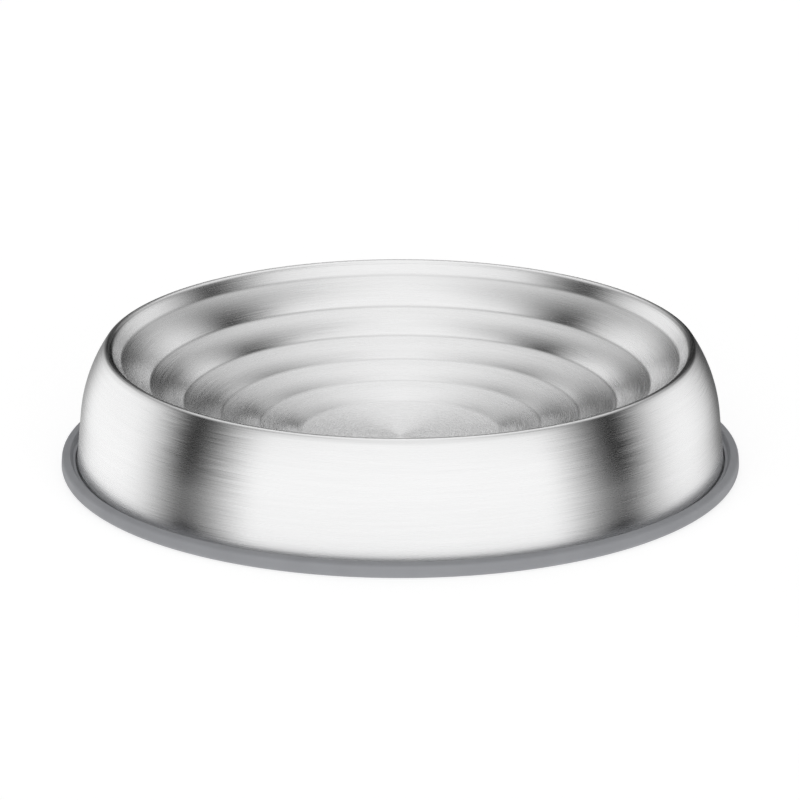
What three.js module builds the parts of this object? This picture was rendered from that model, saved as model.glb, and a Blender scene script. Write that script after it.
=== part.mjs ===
// Stainless steel cat bowl in three pieces: a terraced dish, a flared skirt whose top rolls in over
// the dish's flange, and a soft non-slip ring round the skirt's foot.
// Millimetres, +Z up, origin on the table under the middle of the bowl. Every piece is turned about Z.
import * as THREE from 'three';

// Driving dimensions: the whole bowl
const HEIGHT = 33.0; // table to the top of the rim
const RIM_RADIUS = 78.0; // circle along the top of the rim
const FLARE = 8.0; // how much further out than the rim the skirt's foot stands
const SHEET = 0.6; // steel thickness of both pressings
const FIT_GAP = 0.3; // clearance where two pieces seat

// Skirt: straight flared wall, long soft shoulder, tight roll at the rim, narrow lip inside it
const SHOULDER_RADIUS = 38;
const SHOULDER_TURN = 32.6; // degrees from upright where the shoulder meets the roll
const ROLL_RADIUS = 1.0;
const LIP_REACH = 1.8; // top of the rim to the lip's inner edge
const LIP_DROOP = 9; // degrees that the lip falls towards the dish

// Dish: a plain band that falls from the lip's edge, then treads from the rim inwards, then the disc in
// the middle. Each tread runs in, drops, and swells between its two ends.
const BAND_RUN = 2.5;
const BAND_DROP = 2.56;
const TREAD_1_RUN = 7.3;
const TREAD_1_DROP = 7.3;
const TREAD_1_SWELL = 0.85;
const TREAD_2_RUN = 8.9;
const TREAD_2_DROP = 5.6;
const TREAD_2_SWELL = 0.75;
const TREAD_3_RUN = 9.9;
const TREAD_3_DROP = 3.6;
const TREAD_3_SWELL = 0.6;
const TREAD_4_RUN = 10.1;
const TREAD_4_DROP = 2.9;
const TREAD_4_SWELL = 0.5;
const TREAD_5_RUN = 10.8;
const TREAD_5_DROP = 2.3;
const TREAD_5_SWELL = 0.45;
const DISC_DIP = 0.9; // the middle of the disc lies this much below its edge

// Ring: a bead round the outside, a channel for the skirt's foot, a tongue inside the skirt
const RING_HEIGHT = 3.95; // table to the bead's crest
const RING_WALL = 3.7; // channel to the outermost edge of the bead
const RING_FLOOR = 1.0; // rubber under the skirt's foot
const BEAD_ROUND = 1.4; // rounding of the bead's lower edge
const BEAD_LEAN = 0.1; // how far the bead's face leans in on its way up
const BROW_ROUND = 0.8; // rounding of the bead's upper edge
const CREST_RISE = 0.2; // how far the crest stands above that edge
const CREST_INSET = 2.1; // outermost edge of the bead to the middle of the crest
const CREST_ROUND = 0.35;
const CREST_START = 150; // degrees from level where the groove's side turns over the crest
const GROOVE_DEPTH = 1.25; // open groove between the bead's crest and the skirt
const LEDGE_WIDTH = 0.65; // floor of that groove, beside the channel
const TONGUE_HEIGHT = 4.6;
const TONGUE_WIDTH = 1.5;

// Facets
const TURN_STEPS = 64;
const ARC_STEPS = 2;

const TREADS = [
  { run: TREAD_1_RUN, drop: TREAD_1_DROP, swell: TREAD_1_SWELL },
  { run: TREAD_2_RUN, drop: TREAD_2_DROP, swell: TREAD_2_SWELL },
  { run: TREAD_3_RUN, drop: TREAD_3_DROP, swell: TREAD_3_SWELL },
  { run: TREAD_4_RUN, drop: TREAD_4_DROP, swell: TREAD_4_SWELL },
  { run: TREAD_5_RUN, drop: TREAD_5_DROP, swell: TREAD_5_SWELL },
];

const STEEL = { color: 0xc6c8ca, metalness: 1.0, roughness: 0.32 };
const RUBBER = { color: 0x84878b, metalness: 0.0, roughness: 0.75 };

// Outline helpers
const point = (r, z) => new THREE.Vector2(r, z);
const radians = THREE.MathUtils.degToRad;

// A point that lies at an angle and distance from a centre.
function polar(centre, distance, angle) {
  return point(centre.x + distance * Math.cos(angle), centre.y + distance * Math.sin(angle));
}

// Angle of the straight face that leaves one round and runs on to the next, along the outside of both.
function faceAngle(centre, radius, next, nextRadius) {
  const way = next.clone().sub(centre);
  return Math.atan2(way.y, way.x) + Math.acos((radius - nextRadius) / way.length());
}

// Carries an outline on to its next point along an arc that swells to the left of its way.
function swellTo(outline, end, swell) {
  const start = outline.currentPoint.clone();
  const chord = end.clone().sub(start);
  const halfTurn = 2 * Math.atan2(2 * swell, chord.length());
  const radius = chord.length() / (2 * Math.sin(halfTurn));
  const toCentre = point(chord.y, -chord.x).setLength(radius * Math.cos(halfTurn));
  const centre = start.clone().add(end).multiplyScalar(0.5).add(toCentre);
  const startAngle = start.clone().sub(centre).angle();
  outline.absarc(centre.x, centre.y, radius, startAngle, startAngle - 2 * halfTurn, true);
}

// Neighbouring points that coincide become one.
function withoutRepeats(points) {
  const closest = 1e-4;
  return points.filter((here, i) => i === 0 || here.distanceTo(points[i - 1]) > closest);
}

// Gives a line its sheet: the same line again, one thickness to the right, walked back to the start.
function sheetOutline(line, thickness) {
  const rightOf = (from, to) => point(to.y - from.y, from.x - to.x).normalize();
  const back = line.map((here, i) => {
    if (here.x === 0) return point(0, here.y - thickness);
    const before = rightOf(line[Math.max(i - 1, 0)], line[Math.max(i, 1)]);
    const after = rightOf(line[Math.min(i, line.length - 2)], line[Math.min(i + 1, line.length - 1)]);
    const mitre = before.add(after);
    return here.clone().addScaledVector(mitre, (2 * thickness) / mitre.lengthSq());
  });
  return [...line, ...back.reverse()];
}

// One piece: its outline turned about Z, walked clockwise as seen with r to the right and z up.
function turned(name, outline, finish) {
  const onAxis = outline[0].x === 0;
  const loop = onAxis ? outline : [...outline, outline[0].clone()];
  const geometry = new THREE.LatheGeometry(loop.reverse(), TURN_STEPS).rotateX(Math.PI / 2);
  const piece = new THREE.Mesh(geometry, new THREE.MeshStandardMaterial(finish));
  piece.name = name;
  return piece;
}

// The skirt's wall: where the roll and the shoulder turn, and how far the wall leans from upright
const footRadius = RIM_RADIUS + FLARE;
const footHeight = RING_FLOOR + FIT_GAP;
const rollCentre = point(RIM_RADIUS, HEIGHT - ROLL_RADIUS);
const lipAngle = radians(90 + LIP_DROOP);
const shoulderAngle = radians(SHOULDER_TURN);
const shoulderCentre = polar(rollCentre, ROLL_RADIUS - SHOULDER_RADIUS, shoulderAngle);
const wallLean = faceAngle(shoulderCentre, SHOULDER_RADIUS, point(footRadius, footHeight), 0);
const lipRadius = RIM_RADIUS - LIP_REACH;

// Height of a line that runs beside the lip, a given depth under its upper face.
function lipHeight(radius, depth) {
  const start = polar(rollCentre, ROLL_RADIUS - depth, lipAngle);
  return start.y - (start.x - radius) * Math.tan(radians(LIP_DROOP));
}

// Where the slope of the dish's band, which starts at the lip's upper edge, passes that same line.
function bandStart(depth) {
  const edge = lipHeight(lipRadius, 0);
  const closing = BAND_DROP / BAND_RUN - Math.tan(radians(LIP_DROOP));
  const radius = lipRadius - (edge - lipHeight(lipRadius, depth)) / closing;
  return point(radius, lipHeight(radius, depth));
}

function makeSkirt() {
  const rollStart = polar(rollCentre, ROLL_RADIUS, lipAngle);
  const line = new THREE.Path();
  line.moveTo(lipRadius, lipHeight(lipRadius, 0));
  line.lineTo(rollStart.x, rollStart.y);
  line.absarc(rollCentre.x, rollCentre.y, ROLL_RADIUS, lipAngle, shoulderAngle, true);
  line.absarc(shoulderCentre.x, shoulderCentre.y, SHOULDER_RADIUS, shoulderAngle, wallLean, true);
  line.lineTo(footRadius, footHeight);
  const outline = sheetOutline(withoutRepeats(line.getPoints(ARC_STEPS)), SHEET);
  // The lip's edge is dressed to the slope of the band below it
  outline[outline.length - 1] = bandStart(SHEET);
  return turned('skirt', outline, STEEL);
}

function makeDish() {
  // Corners from the lip's edge inwards, one at the outer end of each tread and one at the disc
  const corners = [point(lipRadius - BAND_RUN, lipHeight(lipRadius, 0) - BAND_DROP)];
  for (const tread of TREADS) {
    const outer = corners.at(-1);
    corners.push(point(outer.x - tread.run, outer.y - tread.drop));
  }
  const discEdge = corners.at(-1);
  const line = new THREE.Path();
  line.moveTo(0, discEdge.y - DISC_DIP);
  // The disc is a shallow dish: level in the middle, with its control point half way out
  line.quadraticCurveTo(discEdge.x / 2, discEdge.y - DISC_DIP, discEdge.x, discEdge.y);
  for (let i = TREADS.length - 1; i >= 0; i -= 1) {
    swellTo(line, corners[i], TREADS[i].swell);
  }
  const bandTop = bandStart(SHEET + FIT_GAP);
  line.lineTo(bandTop.x, bandTop.y);
  // The flange runs under the lip as far as the rim's roll
  const flangeEnd = polar(rollCentre, ROLL_RADIUS - SHEET - FIT_GAP, lipAngle);
  line.lineTo(flangeEnd.x, flangeEnd.y);
  return turned('dish', sheetOutline(withoutRepeats(line.getPoints(ARC_STEPS)), SHEET), STEEL);
}

function makeBaseRing() {
  const channelOuter = footRadius + FIT_GAP;
  const ringRadius = channelOuter + RING_WALL;
  const crest = point(ringRadius - CREST_INSET, RING_HEIGHT - CREST_ROUND);
  const brow = point(ringRadius - BEAD_LEAN - BROW_ROUND, RING_HEIGHT - CREST_RISE - BROW_ROUND);
  const bead = point(ringRadius - BEAD_ROUND, BEAD_ROUND);
  const topFace = faceAngle(crest, CREST_ROUND, brow, BROW_ROUND);
  const beadFace = faceAngle(brow, BROW_ROUND, bead, BEAD_ROUND);
  const ledge = RING_HEIGHT - GROOVE_DEPTH;
  // The tongue's outer face follows the inside of the skirt's wall
  const insideWall = (z) => footRadius - SHEET / Math.cos(wallLean) - (z - footHeight) * Math.tan(wallLean);
  const tongueRound = TONGUE_WIDTH / 2;
  const tongue = point(insideWall(TONGUE_HEIGHT) - FIT_GAP - tongueRound, TONGUE_HEIGHT - tongueRound);
  const outline = new THREE.Path();
  outline.moveTo(tongue.x - tongueRound, 0);
  outline.lineTo(tongue.x - tongueRound, tongue.y);
  outline.absarc(tongue.x, tongue.y, tongueRound, Math.PI, 0, true);
  outline.lineTo(insideWall(RING_FLOOR) - FIT_GAP, RING_FLOOR);
  outline.lineTo(channelOuter, RING_FLOOR);
  outline.lineTo(channelOuter, ledge);
  outline.lineTo(channelOuter + LEDGE_WIDTH, ledge);
  outline.absarc(crest.x, crest.y, CREST_ROUND, radians(CREST_START), topFace, true);
  outline.absarc(brow.x, brow.y, BROW_ROUND, topFace, beadFace, true);
  outline.absarc(bead.x, bead.y, BEAD_ROUND, beadFace, -Math.PI / 2, true);
  return turned('base_ring', withoutRepeats(outline.getPoints(ARC_STEPS)), RUBBER);
}

const bowl = new THREE.Group();
bowl.add(makeDish(), makeSkirt(), makeBaseRing());

export default bowl;
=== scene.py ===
import math

import bmesh
import bpy
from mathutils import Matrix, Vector


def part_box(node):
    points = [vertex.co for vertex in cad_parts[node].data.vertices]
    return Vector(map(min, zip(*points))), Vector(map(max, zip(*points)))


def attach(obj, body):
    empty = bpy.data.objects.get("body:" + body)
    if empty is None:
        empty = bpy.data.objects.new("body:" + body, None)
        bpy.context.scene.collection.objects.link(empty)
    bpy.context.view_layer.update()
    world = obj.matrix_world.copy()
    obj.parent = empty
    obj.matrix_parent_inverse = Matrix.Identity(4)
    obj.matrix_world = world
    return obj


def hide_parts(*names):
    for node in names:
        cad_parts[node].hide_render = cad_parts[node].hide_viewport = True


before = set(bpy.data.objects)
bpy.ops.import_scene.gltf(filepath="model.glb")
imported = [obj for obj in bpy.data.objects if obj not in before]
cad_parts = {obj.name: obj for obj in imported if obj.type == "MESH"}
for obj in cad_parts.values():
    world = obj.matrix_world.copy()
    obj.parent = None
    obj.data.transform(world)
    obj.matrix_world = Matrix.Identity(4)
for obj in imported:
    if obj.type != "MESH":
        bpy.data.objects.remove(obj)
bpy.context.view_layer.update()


# Skirt: the flared outer wall, a stainless steel pressing brushed round its axis. Its top turns over
# a long shoulder and a tight roll into a narrow lip, which closes over the edge of the dish.
SHEET = 0.0006
SKIRT_LOW, SKIRT_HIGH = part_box("skirt")
FOOT = Vector((SKIRT_HIGH.x, SKIRT_LOW.z))
RIM_RADIUS = 0.0775
ROLL_RADIUS = 0.0012
LIP_ROUND = 0.0028
SHOULDER_RADIUS = 0.038
SHOULDER_TURN = math.radians(33.6)
LIP_REACH = 0.00125
LIP_DROOP = math.radians(3)
LIP_EDGE_REACH = 0.00075
BAND_SLOPE = math.radians(53.5)
LIP_STEPS = 4
LIP_ROUND_STEPS = 8
ROLL_STEPS = 10
SHOULDER_STEPS = 24
WALL_STEPS = 12
CORNER_STEPS = 6
STEPS_ROUND = 288
QUARTER_TURN = math.pi / 2
WELD_DISTANCE = 1e-7
SHARP_EDGE = math.radians(35)
STEEL_COLOUR = (0.94, 0.94, 0.942)
STEEL_ROUGHNESS = 0.262
ROUGHNESS_SWING = 0.05
STEEL_ANISOTROPY = 0.98
SKIRT_SCRATCHES = {"turns_long": 0.025, "lines_per_mm": 6.5, "tilt": 0.075, "tint": 0.03}
SCRATCH_SHARE = 0.6
SOFT_STREAKS = {"turns_long": 0.05, "lines_per_mm": 1.0}
SOFT_SHARE = 0.4
STREAK_DETAIL = 2.0
STREAK_RANGE = (0.3, 0.7)
NOISE_MIDDLE = 0.5
MM_PER_M = 1000
SCRATCH_STRENGTH = 0.2
SCRATCH_DEPTH = 0.00002
CROWN_ROUGHNESS = 0.2
CROWN_DEPTH = 0.0006
CREASE_CORE = 0.0001
CREASE_WIDTH = 0.00055
# Painted shade: a thin darker line in the skirt's colour where the roll meets the shoulder.
ROLL_FOOT_PAINTED_SHADE = 0.12


def polar(centre, radius, angle):
    return centre + radius * Vector((math.cos(angle), math.sin(angle)))


def arc(centre, radius, start, end, steps):
    """Points (r, z) along an arc, its two ends among them."""
    return [polar(centre, radius, start + (end - start) * i / steps) for i in range(steps + 1)]


def straight(start, end, steps):
    """Points (r, z) along a straight line, its two ends among them."""
    return [start.lerp(end, i / steps) for i in range(steps + 1)]


def face_angle(centre, radius, beyond, beyond_radius):
    """Angle of the straight face that leaves one round for the next, along the outside of both."""
    way = beyond - centre
    return math.atan2(way.y, way.x) + math.acos((radius - beyond_radius) / way.length)


def trimmed(line, length):
    """The line without its first stretch of that length."""
    left = length
    for i in range(len(line) - 1):
        step = (line[i + 1] - line[i]).length
        if step > left:
            return [line[i].lerp(line[i + 1], left / step)] + line[i + 1:]
        left -= step
    return line[-1:]


def joined(runs, reach, steps=CORNER_STEPS):
    """One line from several runs that meet end to start, with a small round at each meeting."""
    line = list(runs[0])
    for run in runs[1:]:
        corner = run[0]
        before = trimmed(line[::-1], reach)[::-1]
        after = trimmed(run, reach)
        start, end = before[-1], after[0]
        shares = [i / steps for i in range(1, steps)]
        bend = [start.lerp(corner, t).lerp(corner.lerp(end, t), t) for t in shares]
        line = before + bend + after
    return line


def turning_tree():
    """Geometry Nodes that turn an outline in the XZ plane about Z. Each corner keeps its grain
    coordinates: metres along the outline, and turns round the axis."""
    tree = bpy.data.node_groups.new("turned_piece", "GeometryNodeTree")
    sockets = tree.interface
    sockets.new_socket("Outline", in_out="INPUT", socket_type="NodeSocketGeometry")
    sockets.new_socket("Steps round", in_out="INPUT", socket_type="NodeSocketInt")
    sockets.new_socket("Weld distance", in_out="INPUT", socket_type="NodeSocketFloat")
    sockets.new_socket("Finish", in_out="INPUT", socket_type="NodeSocketMaterial")
    sockets.new_socket("Piece", in_out="OUTPUT", socket_type="NodeSocketGeometry")
    link = tree.links.new

    def node(kind, **settings):
        made = tree.nodes.new(kind)
        for name, value in settings.items():
            setattr(made, name, value)
        return made

    def whole(operation, a, b):
        """A sum of whole numbers."""
        made = node("FunctionNodeIntegerMath", operation=operation)
        link(a, made.inputs[0])
        if isinstance(b, int):
            made.inputs[1].default_value = b
        else:
            link(b, made.inputs[1])
        return made.outputs[0]

    given = node("NodeGroupInput")
    size = node("GeometryNodeAttributeDomainSize", component="MESH")
    link(given.outputs["Outline"], size.inputs[0])
    rows = size.outputs["Point Count"]
    net = node("GeometryNodeMeshGrid")
    link(whole("ADD", given.outputs["Steps round"], 1), net.inputs["Vertices X"])
    link(rows, net.inputs["Vertices Y"])

    index = node("GeometryNodeInputIndex").outputs[0]
    row = whole("MODULO", index, rows)
    column = whole("DIVIDE_FLOOR", index, rows)
    share = node("ShaderNodeMath", operation="DIVIDE")
    link(column, share.inputs[0])
    link(given.outputs["Steps round"], share.inputs[1])
    angle = node("ShaderNodeMath", operation="MULTIPLY")
    angle.inputs[1].default_value = math.tau
    link(share.outputs[0], angle.inputs[0])

    def on_outline(kind, value):
        """The value at the outline's point of this row."""
        sample = node("GeometryNodeSampleIndex", data_type=kind, domain="POINT")
        link(given.outputs["Outline"], sample.inputs["Geometry"])
        link(value, sample.inputs["Value"])
        link(row, sample.inputs["Index"])
        return sample.outputs[0]

    place = on_outline("FLOAT_VECTOR", node("GeometryNodeInputPosition").outputs[0])
    along = node("GeometryNodeInputNamedAttribute", data_type="FLOAT")
    along.inputs["Name"].default_value = "along"
    along_here = on_outline("FLOAT", along.outputs["Attribute"])
    turn = node("ShaderNodeVectorRotate", rotation_type="Z_AXIS")
    link(place, turn.inputs["Vector"])
    link(angle.outputs[0], turn.inputs["Angle"])
    moved = node("GeometryNodeSetPosition")
    link(net.outputs["Mesh"], moved.inputs["Geometry"])
    link(turn.outputs[0], moved.inputs["Position"])

    grain = node("ShaderNodeCombineXYZ")
    link(along_here, grain.inputs["X"])
    link(share.outputs[0], grain.inputs["Y"])
    at_point = node("GeometryNodeFieldOnDomain", data_type="FLOAT_VECTOR", domain="POINT")
    link(grain.outputs[0], at_point.inputs[0])
    stored = node("GeometryNodeStoreNamedAttribute", data_type="FLOAT2", domain="CORNER")
    stored.inputs["Name"].default_value = "grain"
    link(moved.outputs[0], stored.inputs["Geometry"])
    link(at_point.outputs[0], stored.inputs["Value"])

    welded = node("GeometryNodeMergeByDistance")
    link(stored.outputs[0], welded.inputs["Geometry"])
    link(given.outputs["Weld distance"], welded.inputs["Distance"])
    smooth = node("GeometryNodeSetShadeSmooth")
    link(welded.outputs[0], smooth.inputs["Geometry"])
    real = node("GeometryNodeRealizeInstances")
    link(smooth.outputs[0], real.inputs[0])
    painted = node("GeometryNodeSetMaterial")
    link(real.outputs[0], painted.inputs["Geometry"])
    link(given.outputs["Finish"], painted.inputs["Material"])
    link(painted.outputs[0], node("NodeGroupOutput").inputs[0])
    return tree


TURNING = turning_tree()


def turned(name, outline, finish):
    """A piece made by turning a section, as a plain mesh."""
    mesh = bpy.data.meshes.new(name + "_outline")
    mesh.from_pydata([(p.x, 0, p.y) for p in outline], [(i, i + 1) for i in range(len(outline) - 1)], [])
    along = mesh.attributes.new("along", "FLOAT", "POINT")
    length = 0.0
    for i, here in enumerate(outline):
        length += (here - outline[max(i - 1, 0)]).length
        along.data[i].value = length
    piece = bpy.data.objects.new(name, mesh)
    bpy.context.scene.collection.objects.link(piece)
    lathe = piece.modifiers.new("lathe", "NODES")
    lathe.node_group = TURNING
    given = {"Steps round": STEPS_ROUND, "Weld distance": WELD_DISTANCE, "Finish": finish}
    for socket in TURNING.interface.items_tree:
        if socket.in_out == "INPUT" and socket.name in given:
            lathe[socket.identifier] = given[socket.name]
    solid = bpy.data.meshes.new_from_object(piece.evaluated_get(bpy.context.evaluated_depsgraph_get()))
    piece.modifiers.remove(lathe)
    piece.data = solid
    solid.name = name
    shape = bmesh.new()
    shape.from_mesh(solid)
    bmesh.ops.recalc_face_normals(shape, faces=shape.faces)
    shape.to_mesh(solid)
    shape.free()
    solid.set_sharp_from_angle(angle=SHARP_EDGE)
    return piece


def fill(tree, socket, value):
    """Links another node's output to the socket, or sets a number or a colour on it."""
    if isinstance(value, bpy.types.NodeSocket):
        tree.links.new(value, socket)
    else:
        socket.default_value = value


def math_node(tree, operation, a, b=0.0):
    made = tree.nodes.new("ShaderNodeMath")
    made.operation = operation
    fill(tree, made.inputs[0], a)
    fill(tree, made.inputs[1], b)
    return made.outputs[0]


def vector_node(tree, operation, a, b=None, scale=None, output="Vector"):
    made = tree.nodes.new("ShaderNodeVectorMath")
    made.operation = operation
    for socket, value in ((0, a), (1, b), ("Scale", scale)):
        if value is not None:
            fill(tree, made.inputs[socket], value)
    return made.outputs[output]


def spread(tree, value, low, high, at_low, at_high):
    """The value's range from low to high, spread over at_low to at_high and held at both ends."""
    made = tree.nodes.new("ShaderNodeMapRange")
    ends = {"From Min": low, "From Max": high, "To Min": at_low, "To Max": at_high}
    for name, number in ends.items():
        made.inputs[name].default_value = number
    fill(tree, made.inputs["Value"], value)
    return made.outputs[0]


def noise(tree, place, scale, detail):
    made = tree.nodes.new("ShaderNodeTexNoise")
    made.inputs["Scale"].default_value = scale
    made.inputs["Detail"].default_value = detail
    fill(tree, made.inputs["Vector"], place)
    return made.outputs["Fac"]


def bump(tree, height, strength, depth, normal=None):
    made = tree.nodes.new("ShaderNodeBump")
    made.inputs["Strength"].default_value = strength
    made.inputs["Distance"].default_value = depth
    fill(tree, made.inputs["Height"], height)
    if normal is not None:
        fill(tree, made.inputs["Normal"], normal)
    return made.outputs[0]


def brushed_steel(name, scratches, crown=None, creases=(), speckle=None):
    """Stainless steel with a grain of fine scratches that run round the piece. Over the crown, from the
    first of its two heights to the second, it grows smoother. Along each crease, which is a radius and a
    depth of darkening, runs a thin line of painted shade in the colour. Inside the speckle's radius the
    grain breaks up into a matt speckle."""
    finish = bpy.data.materials.new(name)
    finish.use_nodes = True
    tree = finish.node_tree
    nodes, link = tree.nodes, tree.links.new
    steel = nodes["Principled BSDF"]
    steel.inputs["Metallic"].default_value = 1.0
    steel.inputs["Anisotropic"].default_value = STEEL_ANISOTROPY

    place = nodes.new("ShaderNodeTexCoord").outputs["Object"]
    radius = vector_node(tree, "LENGTH", vector_node(tree, "MULTIPLY", place, (1, 1, 0)), output="Value")
    grain = nodes.new("ShaderNodeUVMap")
    grain.uv_map = "grain"
    split = nodes.new("ShaderNodeSeparateXYZ")
    link(grain.outputs["UV"], split.inputs[0])
    along = split.outputs["X"]
    turn = math_node(tree, "MULTIPLY", split.outputs["Y"], math.tau)

    def streaks(turns_long, lines_per_mm):
        """Noise drawn out round the axis: about that many turns long and that many lines a millimetre."""
        swing = 1.0 / (math.tau * turns_long)
        spot = nodes.new("ShaderNodeCombineXYZ")
        for axis, operation in (("X", "COSINE"), ("Y", "SINE")):
            link(math_node(tree, "MULTIPLY", math_node(tree, operation, turn), swing), spot.inputs[axis])
        link(math_node(tree, "MULTIPLY", along, lines_per_mm * MM_PER_M), spot.inputs["Z"])
        return noise(tree, spot.outputs[0], 1.0, STREAK_DETAIL)

    fine = streaks(scratches["turns_long"], scratches["lines_per_mm"])
    soft = streaks(SOFT_STREAKS["turns_long"], SOFT_STREAKS["lines_per_mm"])
    both = math_node(tree, "ADD", math_node(tree, "MULTIPLY", fine, SCRATCH_SHARE),
                     math_node(tree, "MULTIPLY", soft, SOFT_SHARE))
    shade = spread(tree, both, *STREAK_RANGE, 1 - scratches["tint"], 1 + scratches["tint"])
    # Painted shade: each crease darkens the steel's colour in a thin line beside it.
    for crease, painted_shade_depth in creases:
        away = math_node(tree, "ABSOLUTE", math_node(tree, "SUBTRACT", radius, crease))
        painted_shade_line = spread(tree, away, CREASE_CORE, CREASE_WIDTH, 1 - painted_shade_depth, 1)
        shade = math_node(tree, "MULTIPLY", shade, painted_shade_line)
    link(vector_node(tree, "SCALE", STEEL_COLOUR, scale=shade), steel.inputs["Base Color"])
    rough = spread(tree, fine, 0, 1, STEEL_ROUGHNESS - ROUGHNESS_SWING, STEEL_ROUGHNESS + ROUGHNESS_SWING)
    if crown:
        height = nodes.new("ShaderNodeSeparateXYZ")
        link(place, height.inputs[0])
        smoother = spread(tree, height.outputs["Z"], *crown, 1, CROWN_ROUGHNESS / STEEL_ROUGHNESS)
        rough = math_node(tree, "MULTIPLY", rough, smoother)
    link(rough, steel.inputs["Roughness"])

    # Each scratch turns the light a little to one side, which shows most where bright meets dark.
    across = nodes.new("ShaderNodeTangent")
    across.direction_type = "UV_MAP"
    across.uv_map = "grain"
    link(across.outputs[0], steel.inputs["Tangent"])
    normal = nodes.new("ShaderNodeNewGeometry").outputs["Normal"]
    tilt = math_node(tree, "MULTIPLY", math_node(tree, "SUBTRACT", fine, NOISE_MIDDLE), scratches["tilt"])
    if speckle:
        edge = speckle["radius"]
        grit = noise(tree, place, speckle["scale"], speckle["detail"])
        grit = math_node(tree, "SUBTRACT", grit, NOISE_MIDDLE)
        grit_tilt = spread(tree, radius, edge, edge * speckle["fade"], speckle["tilt"], 0)
        tilt = math_node(tree, "ADD", tilt, math_node(tree, "MULTIPLY", grit, grit_tilt))
    sideways = vector_node(tree, "CROSS_PRODUCT", normal, across.outputs[0])
    turned_normal = vector_node(tree, "ADD", normal, vector_node(tree, "SCALE", sideways, scale=tilt))
    turned_normal = vector_node(tree, "NORMALIZE", turned_normal)
    link(bump(tree, fine, SCRATCH_STRENGTH, SCRATCH_DEPTH, turned_normal), steel.inputs["Normal"])
    return finish


roll_centre = Vector((RIM_RADIUS, SKIRT_HIGH.z - ROLL_RADIUS))
roll_foot = polar(roll_centre, ROLL_RADIUS, SHOULDER_TURN)
lip_centre = Vector((RIM_RADIUS, SKIRT_HIGH.z - LIP_ROUND))
lip_angle = QUARTER_TURN + LIP_DROOP
lip_radius = RIM_RADIUS - LIP_REACH
shoulder_centre = polar(roll_centre, ROLL_RADIUS - SHOULDER_RADIUS, SHOULDER_TURN)
wall_lean = face_angle(shoulder_centre, SHOULDER_RADIUS, FOOT, 0)


def lip_height(radius, depth):
    """Height of a line that runs beside the lip, that deep under its upper face."""
    start = polar(lip_centre, LIP_ROUND - depth, lip_angle)
    return start.y - (start.x - radius) * math.tan(LIP_DROOP)


def band_start(depth):
    """Where the slope of the dish's band, which starts at the lip's edge, passes that same line."""
    closing = math.tan(BAND_SLOPE) - math.tan(LIP_DROOP)
    radius = lip_radius - (lip_height(lip_radius, 0) - lip_height(lip_radius, depth)) / closing
    return Vector((radius, lip_height(radius, depth)))


def skirt_face(depth, start):
    """The skirt from the lip down to the foot, that deep under its outer face."""
    line = straight(start, polar(lip_centre, LIP_ROUND - depth, lip_angle), LIP_STEPS)
    line += arc(lip_centre, LIP_ROUND - depth, lip_angle, QUARTER_TURN, LIP_ROUND_STEPS)[1:]
    line += arc(roll_centre, ROLL_RADIUS - depth, QUARTER_TURN, SHOULDER_TURN, ROLL_STEPS)[1:]
    line += arc(shoulder_centre, SHOULDER_RADIUS - depth, SHOULDER_TURN, wall_lean, SHOULDER_STEPS)[1:]
    inwards = Vector((math.cos(wall_lean), math.sin(wall_lean))) * depth
    return line + straight(line[-1], FOOT - inwards, WALL_STEPS)[1:]


lip_edge = Vector((lip_radius, lip_height(lip_radius, 0)))
lip_tip = band_start(SHEET)
outside = joined([straight(lip_tip, lip_edge, LIP_STEPS), skirt_face(0, lip_edge)], LIP_EDGE_REACH)
inside = skirt_face(SHEET, lip_tip)
skirt = turned("skirt_wall", outside + inside[::-1], brushed_steel(
    "skirt_brushed_steel", SKIRT_SCRATCHES,
    crown=(SKIRT_HIGH.z - CROWN_DEPTH, SKIRT_HIGH.z - CROWN_DEPTH / 2),
    creases=[(roll_foot.x, ROLL_FOOT_PAINTED_SHADE)]))
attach(skirt, "bowl")
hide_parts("skirt")


# Dish: the food dish, pressed from the same steel and brushed in rings. It has a plain band under the
# lip, five swelling treads and a shallow disc, and its flange is held under the skirt's lip.
LIP_SEAM = 0.00001
BAND_RUN = 0.00239
TREAD_RUNS = (0.00746, 0.0089, 0.0099, 0.0101, 0.0108)
TREAD_DROPS = (0.00684, 0.0056, 0.0036, 0.0029, 0.0023)
FLAT_SHARES = (0.1, 0.3, 0.4, 0.35, 0.38)
FLAT_SLOPES = (30.3, 19.8, 12.2, 8, 5.8)
DISC_DIP = 0.0009
CREASE_REACH = 0.0004
FLANGE_REACH = 0.00006
DISC_STEPS = 16
ROUND_STEPS = 14
FLAT_STEPS = 4
BAND_STEPS = 4
FLANGE_STEPS = 3
EDGE_STEPS = 10
ON_AXIS = 1e-9
CREASE_INSET = 0.0002
# Painted shade: how much each crease's thin line darkens the dish's colour, from the band's crease inward.
CREASE_PAINTED_SHADE = (0.1, 0.14, 0.14, 0.14, 0.12, 0.06)
DISH_SCRATCHES = {"turns_long": 0.035, "lines_per_mm": 5.0, "tilt": 0.06, "tint": 0.035}
DISC_SPECKLE = {"scale": 9000, "detail": 1.0, "tilt": 0.55, "fade": 1.04}


def sheet_outline(line, thickness):
    """The section of a sheet whose upper face is the line: the line, a round edge, and the way back.
    The sheet lies to the right of the line. A line that starts on the axis has no edge there."""
    middle = []
    for i, here in enumerate(line):
        way = line[min(i + 1, len(line) - 1)] - line[max(i - 1, 0)]
        right = Vector((way.y, -way.x)).normalized()
        if here.x < ON_AXIS:
            right = Vector((0, -1))
        middle.append((here + right * thickness / 2, right))

    def edge(at, turn):
        centre, right = at
        first = math.atan2(-right.y, -right.x)
        return arc(centre, thickness / 2, first, first + turn, EDGE_STEPS)[1:-1]

    back = [centre + right * thickness / 2 for centre, right in middle]
    outline = list(line) + edge(middle[-1], -math.pi) + back[::-1]
    if line[0].x > ON_AXIS:
        outline += edge(middle[0], math.pi)[::-1] + [line[0]]
    return outline


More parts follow.
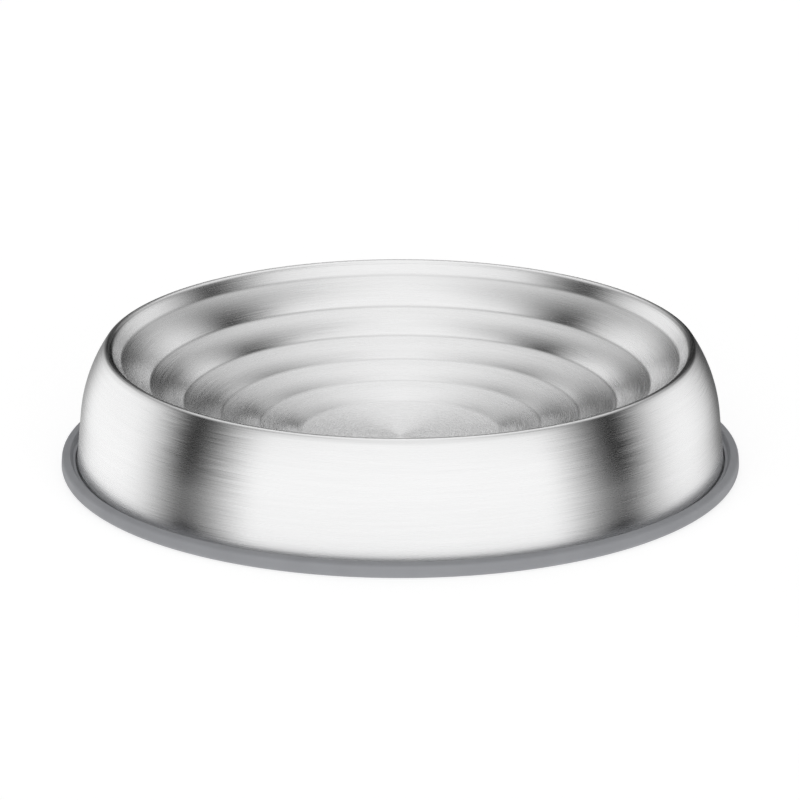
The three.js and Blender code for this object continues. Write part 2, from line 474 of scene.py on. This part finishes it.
def tread_line(start, end, flat_share, flat_slope):
    """A tread from its inner crease to its outer one: a round that runs out into a flatter straight."""
    flat_run = (end.x - start.x) * flat_share
    flat_start = end - flat_run * Vector((1, math.tan(flat_slope)))
    chord = flat_start - start
    half_turn = math.atan2(chord.y, chord.x) - flat_slope
    radius = chord.length / (2 * math.sin(half_turn))
    flat_angle = QUARTER_TURN + flat_slope
    centre = polar(flat_start, -radius, flat_angle)
    round_part = arc(centre, radius, flat_angle + 2 * half_turn, flat_angle, ROUND_STEPS)
    return round_part + straight(flat_start, end, FLAT_STEPS)[1:]


def disc_line(edge):
    """The disc from the axis to its edge, a shallow bowl that dips in the middle."""
    shares = [i / DISC_STEPS for i in range(DISC_STEPS + 1)]
    return [Vector((edge.x * share, edge.y - DISC_DIP * (1 - share ** 2))) for share in shares]


band_top = band_start(SHEET + LIP_SEAM)
flange_end = polar(lip_centre, LIP_ROUND - SHEET - LIP_SEAM, lip_angle)
corners = [lip_edge - BAND_RUN * Vector((1, math.tan(BAND_SLOPE)))]
for run, drop in zip(TREAD_RUNS, TREAD_DROPS):
    corners.append(corners[-1] - Vector((run, drop)))
disc_edge = corners[-1]
treads = [tread_line(corners[i + 1], corners[i], FLAT_SHARES[i], math.radians(FLAT_SLOPES[i]))
          for i in range(len(TREAD_RUNS))]
band = straight(corners[0], band_top, BAND_STEPS)
dish_line = joined([disc_line(disc_edge), *treads[::-1], band], CREASE_REACH)
dish_line = joined([dish_line, straight(band_top, flange_end, FLANGE_STEPS)], FLANGE_REACH)
dish = turned("dish_pan", sheet_outline(dish_line, SHEET), brushed_steel(
    "dish_brushed_steel", DISH_SCRATCHES, speckle={**DISC_SPECKLE, "radius": disc_edge.x},
    creases=[(corner.x - CREASE_INSET, painted_shade_depth) for corner, painted_shade_depth in zip(corners, CREASE_PAINTED_SHADE)]))
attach(dish, "bowl")
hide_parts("dish")


# Base ring: a soft grey non-slip moulding. The skirt's foot stands in its channel, a bead shows all
# round the outside, and a tongue stands up inside the skirt. It pulls off for washing.
RING_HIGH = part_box("base_ring")[1]
RING_HEIGHT = 0.00395
RING_FLOOR = 0.001
BEAD_ROUND = 0.0014
BEAD_LEAN = 0.0001
BROW_ROUND = 0.0008
CREST_RISE = 0.0002
CREST_INSET = 0.0021
CREST_ROUND = 0.00035
CREST_START = math.radians(150)
GROOVE_DROP = 0.00125
LEDGE_WIDTH = 0.00065
TONGUE_WIDTH = 0.0015
SEAT_GAP = 0.0003
MOULD_ROUND = 0.00012
FACE_STEPS = 4
MOULD_STEPS = 4
TONGUE_STEPS = 12
CREST_STEPS = 8
BROW_STEPS = 10
BEAD_STEPS = 14
RUBBER_COLOUR = (0.3, 0.305, 0.322)
RUBBER_ROUGHNESS = (0.62, 0.5)
BLOOM_SCALE = 90
BLOOM_DETAIL = 4.0
BLOOM_RANGE = (0.25, 0.75)
BLOOM_TINT = 0.05
EGGSHELL_SCALE = 2500
EGGSHELL_DETAIL = 2.0
EGGSHELL_STRENGTH = 0.2
EGGSHELL_DEPTH = 0.00005


def ring_outline():
    """The ring's section from the middle of its sole, up inside, over the tongue, through the channel
    and the groove, over the bead and back."""
    channel = FOOT.x + SEAT_GAP
    crest = Vector((RING_HIGH.x - CREST_INSET, RING_HEIGHT - CREST_ROUND))
    brow = Vector((RING_HIGH.x - BEAD_LEAN - BROW_ROUND, RING_HEIGHT - CREST_RISE - BROW_ROUND))
    bead = Vector((RING_HIGH.x - BEAD_ROUND, BEAD_ROUND))
    top_face = face_angle(crest, CREST_ROUND, brow, BROW_ROUND)
    bead_face = face_angle(brow, BROW_ROUND, bead, BEAD_ROUND)
    ledge = RING_HEIGHT - GROOVE_DROP

    def inside_wall(z):
        """Radius of the ring where it faces the skirt's inner side at that height."""
        return FOOT.x - SHEET / math.cos(wall_lean) - (z - FOOT.y) * math.tan(wall_lean) - SEAT_GAP

    tongue_round = TONGUE_WIDTH / 2
    tongue = Vector((inside_wall(RING_HIGH.z) - tongue_round, RING_HIGH.z - tongue_round))
    heel = Vector((tongue.x - tongue_round, 0))
    sole = Vector((FOOT.x, 0))
    channel_inner = Vector((inside_wall(RING_FLOOR), RING_FLOOR))
    channel_outer = Vector((channel, RING_FLOOR))
    ledge_inner = Vector((channel, ledge))
    ledge_outer = Vector((channel + LEDGE_WIDTH, ledge))
    over_tongue = straight(heel, Vector((heel.x, tongue.y)), FACE_STEPS)[:-1]
    over_tongue += arc(tongue, tongue_round, math.pi, 0, TONGUE_STEPS)
    over_tongue += straight(over_tongue[-1], channel_inner, FACE_STEPS)[1:]
    over_crest = arc(crest, CREST_ROUND, CREST_START, top_face, CREST_STEPS)
    over_crest = straight(ledge_outer, over_crest[0], FACE_STEPS)[:-1] + over_crest
    over_bead = arc(brow, BROW_ROUND, top_face, bead_face, BROW_STEPS)
    over_bead += arc(bead, BEAD_ROUND, bead_face, -QUARTER_TURN, BEAD_STEPS)
    return joined([
        straight(sole, heel, FACE_STEPS), over_tongue, straight(channel_inner, channel_outer, FACE_STEPS),
        straight(channel_outer, ledge_inner, FACE_STEPS), straight(ledge_inner, ledge_outer, FACE_STEPS),
        over_crest + over_bead + straight(over_bead[-1], sole, FACE_STEPS)[1:]], MOULD_ROUND, MOULD_STEPS)


def moulded_rubber(name):
    """Matt grey rubber: a fine eggshell surface, with a faint bloom that varies in tone and sheen."""
    finish = bpy.data.materials.new(name)
    finish.use_nodes = True
    tree = finish.node_tree
    link = tree.links.new
    rubber = tree.nodes["Principled BSDF"]
    place = tree.nodes.new("ShaderNodeTexCoord").outputs["Object"]
    bloom = noise(tree, place, BLOOM_SCALE, BLOOM_DETAIL)
    eggshell = noise(tree, place, EGGSHELL_SCALE, EGGSHELL_DETAIL)
    shade = spread(tree, bloom, *BLOOM_RANGE, 1 - BLOOM_TINT, 1 + BLOOM_TINT)
    link(vector_node(tree, "SCALE", RUBBER_COLOUR, scale=shade), rubber.inputs["Base Color"])
    link(spread(tree, bloom, *BLOOM_RANGE, *RUBBER_ROUGHNESS), rubber.inputs["Roughness"])
    link(bump(tree, eggshell, EGGSHELL_STRENGTH, EGGSHELL_DEPTH), rubber.inputs["Normal"])
    return finish


ring = turned("non_slip_ring", ring_outline(), moulded_rubber("grey_rubber"))
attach(ring, "ring")
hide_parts("base_ring")


# Studio: a white floor and a white dome with a dark strip at each side and a dark panel low behind,
# as the photograph's bands on the steel show, and a long lens at the photograph's angle. The dome's
# edges are pairs of limits on a direction's side, back and up parts, which run from -1 to 1.
CAMERA_RISE = math.radians(18.36)
CAMERA_DISTANCE = 1.421
CAMERA_LENS = 241.1
SENSOR_WIDTH = 36
CAMERA_SIDE = -0.00008
AIM_HEIGHT = 0.01753
VIEW_REACH = 20
FLOOR_REACH = 4.0
FLOOR_DROP = 0.0001
FLOOR_GLOW = 0.72
FLOOR_COLOUR = (0.42, 0.42, 0.42, 1)
WHITE = (1, 1, 1, 1)
FRONT_LIGHT = 1.026
REAR_LIGHT = 1.254
REAR_RISE = (-0.2, 0.6)
REAR_SIDE_LIGHT = 0.983
REAR_SIDE_BACK = (-0.4, 0.5)
REAR_SIDE_OUT = (0.3, 0.75)
TOP_LIGHT = 0.91
TOP_LEAN = 0.11
TOP_RISE = (0.194, 1.145)
GROUND_LIGHT = 0.973
GROUND_REAR_LIGHT = 1.076
GROUND_BACK = (-0.5, 0.4)
GROUND_FALL = (0.0, -0.35)
STRIP_PLACE = math.radians(53.0)
STRIP_SHIFT = 0.131
STRIP_LEAN = 0.025
STRIP_SKEW = 0.018
STRIP_FRONT = 0.463
STRIP_REAR = 0.294
STRIP_OUT = (-0.124, 0.455)
STRIP_ARCH = 0.4
STRIP_TOP = (1.195, 0.695)
STRIP_FOOT = (-0.627, -0.225)
STRIP_BEND = 0.357
STRIP_BEND_RISE = (0.716, 1.02)
PANEL_SHIFT = 0.06
PANEL_SIDE = (0.796, 0.058)
PANEL_BACK = (0.4, 0.6)
PANEL_FALL = 0.4
PANEL_FOOT = (-0.477, -0.001)
PANEL_TOP = (0.54, 0.294)

floor_mesh = bpy.data.meshes.new("floor")
floor_mesh.from_pydata([(x * FLOOR_REACH, y * FLOOR_REACH, -FLOOR_DROP) for x, y in
                        ((-1, -1), (1, -1), (1, 1), (-1, 1))], [], [(0, 1, 2, 3)])
floor = bpy.data.objects.new("floor", floor_mesh)
bpy.context.scene.collection.objects.link(floor)
floor.visible_glossy = False
floor_paint = bpy.data.materials.new("white_floor")
floor_paint.use_nodes = True
floor_shader = floor_paint.node_tree.nodes["Principled BSDF"]
floor_shader.inputs["Base Color"].default_value = FLOOR_COLOUR
floor_shader.inputs["Roughness"].default_value = 1.0
floor_shader.inputs["Specular IOR Level"].default_value = 0.0
floor_shader.inputs["Emission Color"].default_value = WHITE
floor_shader.inputs["Emission Strength"].default_value = FLOOR_GLOW
floor_mesh.materials.append(floor_paint)


def studio_dome():
    """Light that depends on its direction alone. The camera itself sees the dome as white."""
    world = bpy.data.worlds.new("studio_dome")
    bpy.context.scene.world = world
    world.use_nodes = True
    tree = world.node_tree
    light = tree.nodes["Background"]

    def ramp(value, low, high):
        """Rises smoothly from 0 at low to 1 at high; falls where low is above high."""
        ends = (high, low, 1.0, 0.0) if low > high else (low, high, 0.0, 1.0)
        risen = spread(tree, value, *ends)
        risen.node.interpolation_type = "SMOOTHSTEP"
        return risen

    def mixed(a, b, share):
        """From a to b by that share."""
        made = tree.nodes.new("ShaderNodeMix")
        for name, value in (("A", a), ("B", b), ("Factor", share)):
            fill(tree, made.inputs[name], value)
        return made.outputs["Result"]

    def product(*values):
        result = values[0]
        for value in values[1:]:
            result = math_node(tree, "MULTIPLY", result, value)
        return result

    def leaning(value, other, lean):
        """The value plus a part of another one."""
        return math_node(tree, "ADD", value, product(other, lean))

    split = tree.nodes.new("ShaderNodeSeparateXYZ")
    fill(tree, split.inputs[0], tree.nodes.new("ShaderNodeTexCoord").outputs["Generated"])
    right, back, up = (split.outputs[axis] for axis in "XYZ")
    side = math_node(tree, "ABSOLUTE", right)

    level = mixed(FRONT_LIGHT, REAR_LIGHT, ramp(back, *REAR_RISE))
    level = mixed(level, REAR_SIDE_LIGHT, product(ramp(back, *REAR_SIDE_BACK), ramp(side, *REAR_SIDE_OUT)))
    level = mixed(level, TOP_LIGHT, ramp(leaning(up, back, TOP_LEAN), *TOP_RISE))
    ground = mixed(GROUND_LIGHT, GROUND_REAR_LIGHT, ramp(back, *GROUND_BACK))
    level = mixed(level, ground, ramp(up, *GROUND_FALL))

    # The strips stand where skirt and dish, brushed round, reflect them at the photograph's angle.
    across = leaning(product(side, math.sin(STRIP_PLACE)), back, math.cos(STRIP_PLACE))
    across = leaning(across, up, STRIP_LEAN)
    across = leaning(across, right, -STRIP_SKEW)
    across = leaning(across, ramp(up, *STRIP_BEND_RISE), STRIP_BEND)
    middle = math.cos(STRIP_PLACE) * math.cos(CAMERA_RISE) + STRIP_SHIFT
    strip = product(ramp(across, middle - STRIP_FRONT, middle), ramp(across, middle + STRIP_REAR, middle),
                    ramp(side, *STRIP_OUT), ramp(leaning(up, back, STRIP_ARCH), *STRIP_TOP),
                    ramp(up, *STRIP_FOOT))

    # The panel stands a little to the right, and its lower edge falls to that side.
    beside = math_node(tree, "ABSOLUTE", math_node(tree, "SUBTRACT", right, PANEL_SHIFT))
    panel = product(ramp(beside, *PANEL_SIDE), ramp(back, *PANEL_BACK),
                    ramp(leaning(up, right, PANEL_FALL), *PANEL_FOOT), ramp(up, *PANEL_TOP))
    for dark in (strip, panel):
        level = product(level, math_node(tree, "SUBTRACT", 1.0, dark))
    seen = tree.nodes.new("ShaderNodeLightPath").outputs["Is Camera Ray"]
    fill(tree, light.inputs["Strength"], math_node(tree, "MAXIMUM", level, seen))
    fill(tree, light.inputs["Color"], WHITE)


studio_dome()

lens = bpy.data.cameras.new("camera")
lens.lens = CAMERA_LENS
lens.sensor_width = SENSOR_WIDTH
lens.clip_end = VIEW_REACH
camera = bpy.data.objects.new("camera", lens)
bpy.context.scene.collection.objects.link(camera)
camera.location = (CAMERA_SIDE, -CAMERA_DISTANCE * math.cos(CAMERA_RISE),
                   AIM_HEIGHT + CAMERA_DISTANCE * math.sin(CAMERA_RISE))
camera.rotation_euler = (QUARTER_TURN - CAMERA_RISE, 0, 0)
bpy.context.scene.camera = camera
bpy.context.scene.view_settings.view_transform = "Standard"
